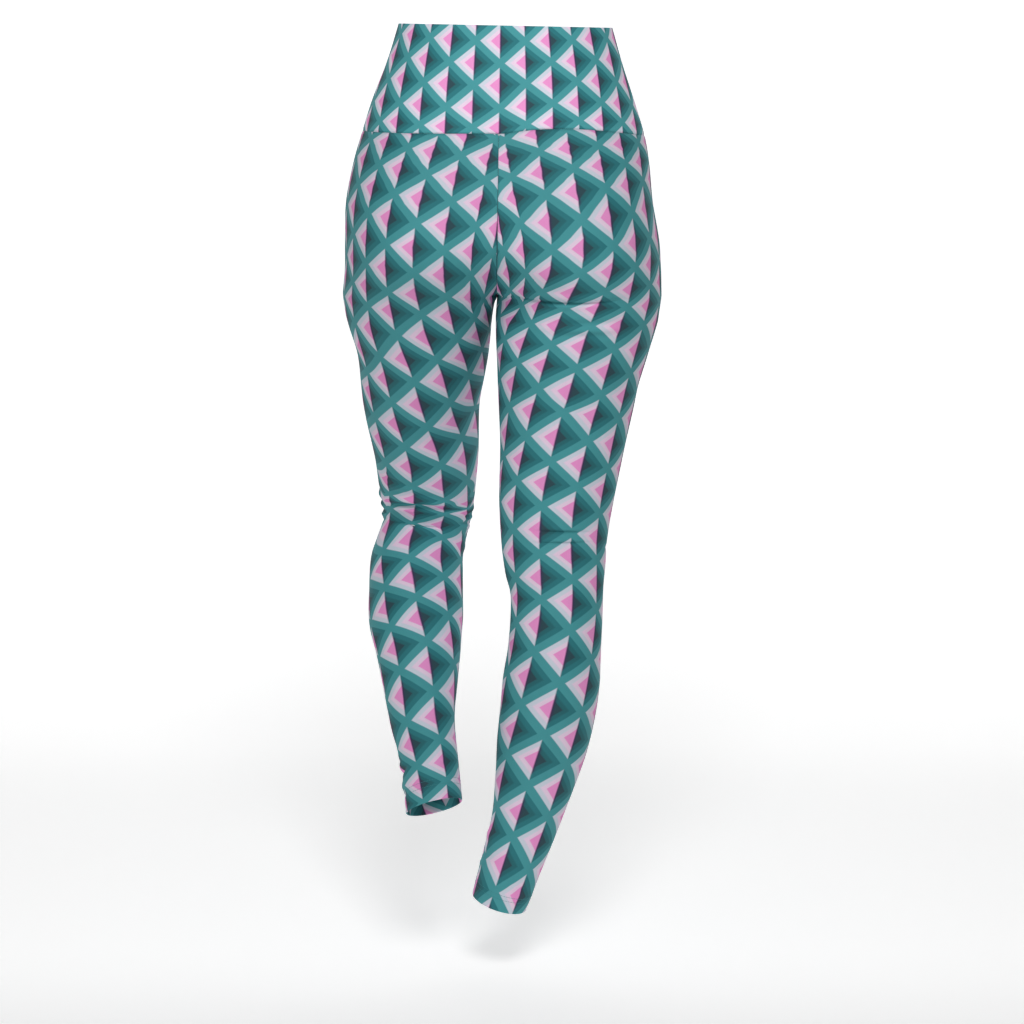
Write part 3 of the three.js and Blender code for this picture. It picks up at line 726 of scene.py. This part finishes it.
def makeBand(face):
    isBack = face == "back"
    radius = bandMake["foldRadius"]
    lowest = bandBottom + bandMake["gap"] / 2
    z = np.linspace(lowest, -radius, bandMake["rows"] + 1)
    halves = []
    for side in ("right", "left"):
        section = sectionAt(side, z)
        depth = section["back"] if isBack else section["front"]
        trim = bandMake["gap"] / 2 / depth
        start = cutAngle(section)
        first, last = (start, np.pi - trim) if isBack else (2 * np.pi - start, np.pi + trim)
        count = bandMake["columns"]
        angle = anglesAlong(side, z, first, last, lambda length: np.linspace(0, length, count + 1))
        halves.append(surfacePoint(side, z[:, None], angle))
    points = np.concatenate([halves[0][:, ::-1], halves[1][:, 1:]], 1)
    sign = -1 if isBack else 1
    normals = gridNormals(points, len(points) + 1, sign)
    across = lengthsAlong(points, 1)
    up = lengthsAlong(points, 0)
    middle = across[:, bandMake["columns"]][:, None]
    fromMiddle = across - middle
    fromSides = np.minimum(across, across[:, -1:] - across)
    inward = seamGroove(up) + seamGroove(fromSides)
    table = bandPrint[face]
    level = z[:, None] - bandPrint["bend"] * np.minimum(fromMiddle**2, bandPrint["bendMost"])
    rightward = -1 if isBack else 1
    u = rightward * fromMiddle / columnAt(table, bandPrintColumns, "width", level)
    v = -columnAt(table, bandPrintColumns, "row", level)
    lattice = np.stack([u, v], -1)
    cloth = np.stack([fromMiddle, up], -1)
    outer = points - normals * inward[..., None]
    inwards = -unit(normals[-1] * np.array([1, 1, 0]))
    upwards = np.array([0.0, 0.0, 1.0])
    rowsUp, latticeUp, clothUp = [], [], []
    rowStep = (lattice[-1] - lattice[-2]) / np.linalg.norm(points[-1] - points[-2], axis=1)[:, None]
    for k in range(1, bandMake["foldTurns"] + 1):
        angle = math.pi * k / bandMake["foldTurns"]
        shift = upwards * math.sin(angle) * radius + inwards * (1 - math.cos(angle)) * radius
        rowsUp.append(outer[-1] + shift)
        latticeUp.append(lattice[-1] + rowStep * radius * angle)
        clothUp.append(cloth[-1] + np.array([0, radius * angle]))
    for k in np.linspace(len(z) - 2, 0, bandMake["innerRows"]).astype(int):
        rowsUp.append(points[k] - normals[k] * 2 * radius)
        travelled = up[-1] - up[k]
        latticeUp.append(latticeUp[bandMake["foldTurns"] - 1] + rowStep * travelled[:, None])
        clothUp.append(clothUp[bandMake["foldTurns"] - 1] + np.stack([travelled * 0, travelled], -1))
    join = np.concatenate
    band = makeSheet(f"waistband_{face}_knit", join([outer, rowsUp]), join([lattice, latticeUp]),
                     join([cloth, clothUp]), 10**6, isBack, [bandOutside, knitInside])
    applyThickness(band, bandMake["cloth"])
    print(band.name, "made,", len(band.data.polygons), "faces, length", across[:, -1].mean().round(1))
    return band


bands = {face: makeBand(face) for face in ("back", "front")}

for side, leg in legs.items():
    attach(leg, "root")
    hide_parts(f"leg_{side}")
for face, band in bands.items():
    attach(band, "root")
    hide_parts(f"waistband_{face}")

# Sewing: the allowances inside and their overlock thread, and the stitches of the hems.
sewSet = {
    "allowance": {"width": 6.0, "columns": 5, "cloth": 1.0, "clear": 0.04, "step": 4.0,
                  "start": 0.4, "sweep": math.pi / 3, "print": 0.017},
    "waist": {"start": 0.8, "columns": 110, "endGap": 0.5, "endsAt": 2.0},
    "thread": 0.16,
    "overlock": {"pitch": 3.0, "edge": 0.35, "shares": (0.12, 0.97), "sunk": 0.7},
    "hemStitch": {"length": 2.6, "pitch": 3.1, "rows": (13.5, 18.5), "lift": 0.1},
}


def makeThreadMaterial(name, low, high):
    material, tree, shader, wires = newMaterial(name)
    place = wires.node("ShaderNodeTexCoord", output=3)
    fibres = wires.node("ShaderNodeTexNoise", None, {"Vector": place, "Scale": 900.0, "Detail": 2.0})
    colour = fibres.mix(low, high)
    tree.links.new(colour.socket, shader.inputs["Base Color"])
    shader.inputs["Roughness"].default_value = 0.6
    shader.inputs["Specular IOR Level"].default_value = 0.2
    return material


stitchThread = makeThreadMaterial("stitch thread", linear(52, 124, 130), linear(78, 150, 156))
overlockThread = makeThreadMaterial("overlock thread", linear(212, 218, 218), linear(236, 240, 240))


# Threads along paths of points in millimetres, as one mesh.
def makeThreads(name, paths, material):
    curve = bpy.data.curves.new(name, "CURVE")
    curve.dimensions = "3D"
    curve.bevel_depth = sewSet["thread"] * mm
    curve.bevel_resolution = 1
    curve.use_fill_caps = True
    for path in paths:
        spline = curve.splines.new("POLY")
        spline.points.add(len(path) - 1)
        spline.points.foreach_set("co", np.column_stack([path * mm, np.ones(len(path))]).ravel())
    thread = bpy.data.objects.new(name, curve)
    bpy.context.scene.collection.objects.link(thread)
    curve.materials.append(material)
    bpy.ops.object.select_all(action="DESELECT")
    bpy.context.view_layer.objects.active = thread
    thread.select_set(True)
    bpy.ops.object.convert(target="MESH")
    thread = bpy.context.view_layer.objects.active
    thread.data.polygons.foreach_set("use_smooth", [True] * len(thread.data.polygons))
    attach(thread, "root")
    print(thread.name, "sewn,", len(thread.data.polygons), "faces")
    return thread


def inwardFrom(points, depth, side):
    return points - gridNormals(points, len(points) + 1, 1 if side == "left" else -1) * depth


sewn = {"left": [], "right": []}


# A place on a grid, at a row that may be broken and a share of the way across it or beyond.
def placeOn(grid, row, share):
    i = min(int(row), len(grid) - 2)
    line = grid[i] + (grid[i + 1] - grid[i]) * (row - i)
    if share > 1:
        return line[0] + (line[-1] - line[0]) * share
    marks = np.linspace(0, 1, len(line))
    return np.array([np.interp(share, marks, line[:, k]) for k in range(3)])


# A seam's allowance, laid flat inside, and the overlocked thread over its free edge. The grid
# runs along the seam in rows and from the seam to the free edge in columns.
def makeAllowance(name, side, points, isTurned):
    made = sewSet["allowance"]
    depth = legMake["cloth"] + made["clear"] + made["cloth"]
    face = inwardFrom(points, depth * (-1 if isTurned else 1), side)
    across, along = lengthsAlong(face, 1), lengthsAlong(face, 0)
    uv = np.stack([across, -along], -1)
    flip = (side == "right") != (not isTurned)
    lattice = uv * made["print"]
    strip = makeSheet(f"{name}_allowance", face, lattice, uv, 10**6, flip, [knitInside, knitInside])
    applyThickness(strip, made["cloth"])
    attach(strip, "root")
    overlock = sewSet["overlock"]
    toward = -1 if isTurned else 1
    over = inwardFrom(points, (depth + sewSet["thread"] * overlock["sunk"]) * toward, side)
    middle = inwardFrom(points, (depth - made["cloth"] / 2) * toward, side)
    count = int(along[-1].mean() / overlock["pitch"])
    rows = np.linspace(0, len(points) - 1, count * 3 + 1)
    stops = [(over, overlock["shares"][0]), (over, overlock["shares"][1]),
             (middle, 1 + overlock["edge"] / made["width"])]
    path = [placeOn(stops[k % 3][0], row, stops[k % 3][1]) for k, row in enumerate(rows)]
    sewn[side].extend([strip, makeThreads(f"{name}_overlock", [np.array(path)], overlockThread)])


# Rows of points going away from an edge of a leg, square to it, for the allowance's width.
def besideEdge(side, z, isBack, start):
    made = sewSet["allowance"]
    steps = made["start"] + np.linspace(0, made["width"], made["columns"])
    end = start + made["sweep"] if isBack else start - made["sweep"]
    angle = anglesAlong(side, z, start, end, lambda length: steps)
    return surfacePoint(side, z[:, None], angle)


def sewSeams():
    made = sewSet["allowance"]
    for side in ("left", "right"):
        hemZ = sections[side][-1][0]
        z = np.arange(hemZ + legMake["hem"]["depth"] + 2, crotchZ - 2, made["step"])[::-1]
        makeAllowance(f"inseam_{side}", side, besideEdge(side, z, True, np.zeros(len(z))), False)
        waist = sewSet["waist"]
        ring = sectionAt(side, np.array([bandBottom - waist["endsAt"]]))
        away = waist["start"] + np.linspace(0, made["width"], made["columns"])
        start = np.repeat(cutAngle(ring, waist["endGap"]), len(away))
        angle = anglesAlong(side, bandBottom - away, start, 2 * np.pi - start,
                            lambda length: np.linspace(0, length, waist["columns"]))
        points = surfacePoint(side, (bandBottom - away)[:, None], angle)
        makeAllowance(f"waist_seam_{side}", side, points.transpose(1, 0, 2), True)
    z = np.arange(bandBottom - made["width"] - 3, crotchZ + 2, -made["step"])
    start = cutAngle(sectionAt("left", z))
    makeAllowance("rise_back", "left", besideEdge("left", z, True, start), False)
    makeAllowance("rise_front", "left", besideEdge("left", z, False, 2 * np.pi - start), True)


# Two rows of stitches that hold the hem, seen as separate stitches on the right side.
def sewHem(side):
    stitch = sewSet["hemStitch"]
    hemZ = sections[side][-1][0]
    paths = []
    for above in stitch["rows"]:
        z = hemZ + above + np.array([1.0, 0.0, -1.0])
        angle = np.linspace(0, 2 * np.pi, 721) * np.ones((3, 1))
        points = surfacePoint(side, z[:, None], angle)
        normals = gridNormals(points, 0, 1 if side == "left" else -1)
        line, normal = points[1], normals[1]
        lengths = lengthsAlong(line, 0)
        count = int(lengths[-1] / stitch["pitch"])
        for k in range(count):
            start = (k + 0.3) * lengths[-1] / count
            at = start + stitch["length"] * np.array([0.0, 0.15, 0.5, 0.85, 1.0])
            lift = np.array([-0.3, 0.6, 1.0, 0.6, -0.3]) * stitch["lift"]
            place = np.stack([np.interp(at, lengths, line[:, i]) for i in range(3)], -1)
            out = np.stack([np.interp(at, lengths, normal[:, i]) for i in range(3)], -1)
            paths.append(place + out * lift[:, None])
    return makeThreads(f"hem_{side}_stitches", paths, stitchThread)


sewSeams()
for side in ("left", "right"):
    sewn[side].append(sewHem(side))
print("sewing made")

stageSet = {
    "floorZ": -1.07,
    "size": 9.0,
    "wallY": -2.2,
    "wallHeight": 5.0,
    "bend": 1.2,
    "glow": 0.41,
    "glowEnds": 0.3,  # the paper in front of this is not lit
    "wallFrom": -1.2,  # and behind this it is lit more
}


# A pale floor that curves up into a backdrop behind the garment.
def makeStage():
    bends = 24
    profile = [(stageSet["size"], stageSet["floorZ"])]
    for k in range(bends + 1):
        angle = math.pi / 2 * k / bends
        y = stageSet["wallY"] + stageSet["bend"] * (1 - math.sin(angle))
        z = stageSet["floorZ"] + stageSet["bend"] * (1 - math.cos(angle))
        profile.append((y, z))
    profile.append((stageSet["wallY"], stageSet["wallHeight"]))
    half = stageSet["size"] / 2
    verts = [(x, y, z) for y, z in profile for x in (-half, half)]
    faces = [(2 * k, 2 * k + 1, 2 * k + 3, 2 * k + 2) for k in range(len(profile) - 1)]
    mesh = bpy.data.meshes.new("studio sweep")
    mesh.from_pydata(verts, [], faces)
    mesh.polygons.foreach_set("use_smooth", [True] * len(mesh.polygons))
    material, tree, shader, wires = newMaterial("studio paper")
    shader.inputs["Base Color"].default_value = (0.82, 0.82, 0.82, 1.0)
    shader.inputs["Roughness"].default_value = 0.9
    place = wires.node("ShaderNodeTexCoord", output=3)
    forward = wires.node("ShaderNodeSeparateXYZ", None, {0: place}, 1)
    behind = 1 - forward.above(stageSet["wallFrom"], 0.6)
    lit = 1 - forward.above(stageSet["glowEnds"], 0.4) * 0.9 + behind * 0.6
    glow = wires.node("ShaderNodeCombineColor", None, {0: lit, 1: lit, 2: lit})
    tree.links.new(glow.socket, shader.inputs["Emission Color"])
    shader.inputs["Emission Strength"].default_value = stageSet["glow"]
    mesh.materials.append(material)
    floor = bpy.data.objects.new("studio_sweep", mesh)
    bpy.context.scene.collection.objects.link(floor)


makeStage()

lights = [
    {"name": "key", "place": (-0.12, 1.95, 1.4), "size": 0.9, "watts": 38.5, "aim": (0, 0, -0.15)},
    {"name": "fill", "place": (0.9, 3.0, -0.1), "size": 1.0, "watts": 17.5, "aim": (0, 0, -0.65)},
]


def aimed(thing, place, aim):
    thing.location = place
    direction = np.array(aim, float) - np.array(place, float)
    thing.rotation_euler = Vector(direction.tolist()).to_track_quat("-Z", "Y").to_euler()


for row in lights:
    lamp = bpy.data.lights.new(row["name"], "AREA")
    lamp.energy = row["watts"]
    lamp.size = row["size"]
    lampObject = bpy.data.objects.new(row["name"], lamp)
    bpy.context.scene.collection.objects.link(lampObject)
    aimed(lampObject, row["place"], row["aim"])

world = bpy.data.worlds.new("studio air")
bpy.context.scene.world = world
world.use_nodes = True
world.node_tree.nodes["Background"].inputs["Color"].default_value = (1.0, 1.0, 1.0, 1.0)
world.node_tree.nodes["Background"].inputs["Strength"].default_value = 0.07

cameraSet = {"place": (-0.0081, 3.03, 0.0), "down": 10.0, "lens": 97.0}
camera = bpy.data.cameras.new("camera")
camera.lens = cameraSet["lens"]
cameraObject = bpy.data.objects.new("camera", camera)
bpy.context.scene.collection.objects.link(cameraObject)
cameraObject.location = cameraSet["place"]
cameraObject.rotation_euler = (math.radians(90 - cameraSet["down"]), 0.0, math.pi)
bpy.context.scene.camera = cameraObject
bpy.context.scene.view_settings.view_transform = "Standard"
print("lights and camera set")
